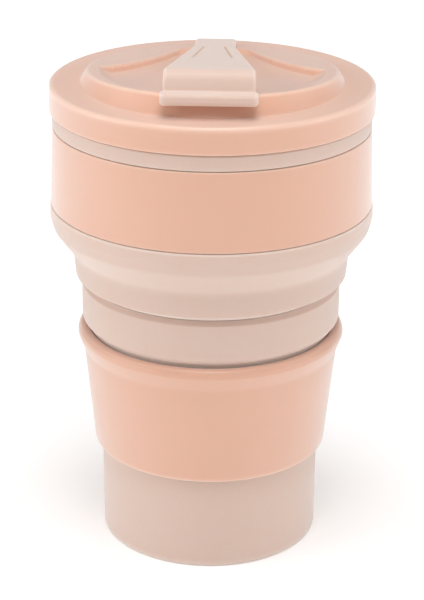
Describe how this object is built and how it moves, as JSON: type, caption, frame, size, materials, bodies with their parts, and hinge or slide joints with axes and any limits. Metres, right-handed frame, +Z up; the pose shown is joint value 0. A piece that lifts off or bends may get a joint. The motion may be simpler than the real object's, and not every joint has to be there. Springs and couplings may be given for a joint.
{
  "type": "collapsible travel cup",
  "caption": "Tapered silicone travel cup that folds down in stages, with a plastic collar ring, heat sleeve and press-on lid with a hinged sip flap.",
  "frame": {"origin": "centre of the flat base, on the surface that the cup stands on", "axes": "+Z up along the cup's axis, -Y towards the drinking side of the lid, +X to the right seen from that side"},
  "size_m": [0.0922, 0.0922, 0.149],
  "materials": {
    "silicone": "matte pinkish beige silicone",
    "plastic": "satin peach moulded plastic"
  },
  "bodies": {
    "base": {"base_cup": "silicone"},
    "sleeve": {"heat_sleeve": "plastic"},
    "middle": {"fold_wall_lower": "silicone"},
    "collar": {"fold_wall_upper": "silicone", "collar_wall": "silicone", "upper_ring": "plastic"},
    "lid": {"lid": "plastic", "lid_seal_ring": "silicone", "flap_anchor": "silicone"},
    "flap": {"sip_flap": "silicone"}
  },
  "joints": [
    {"name": "lower_fold", "type": "slide", "parent": "base", "child": "middle", "axis": [0, 0, -1], "range_m": [0, 0.028], "deforming": ["fold_wall_lower"]},
    {"name": "upper_fold", "type": "slide", "parent": "middle", "child": "collar", "axis": [0, 0, -1], "range_m": [0, 0.025], "deforming": ["fold_wall_upper"]},
    {"name": "sleeve_slide", "type": "slide", "parent": "base", "child": "sleeve", "axis": [0, 0, -1], "range_m": [0, 0.028]},
    {"name": "lid_lift", "type": "slide", "parent": "collar", "child": "lid", "axis": [0, 0, 1], "range_m": [0, 0.04]},
    {"name": "flap_hinge", "type": "hinge", "parent": "lid", "child": "flap", "pos_m": [0, 0.0392, 0.1385], "axis": [-1, 0, 0], "range_deg": [0, 150]}
  ],
  "couplings": [
    {"joint": "sleeve_slide", "follows": "lower_fold", "ratio": 1}
  ]
}
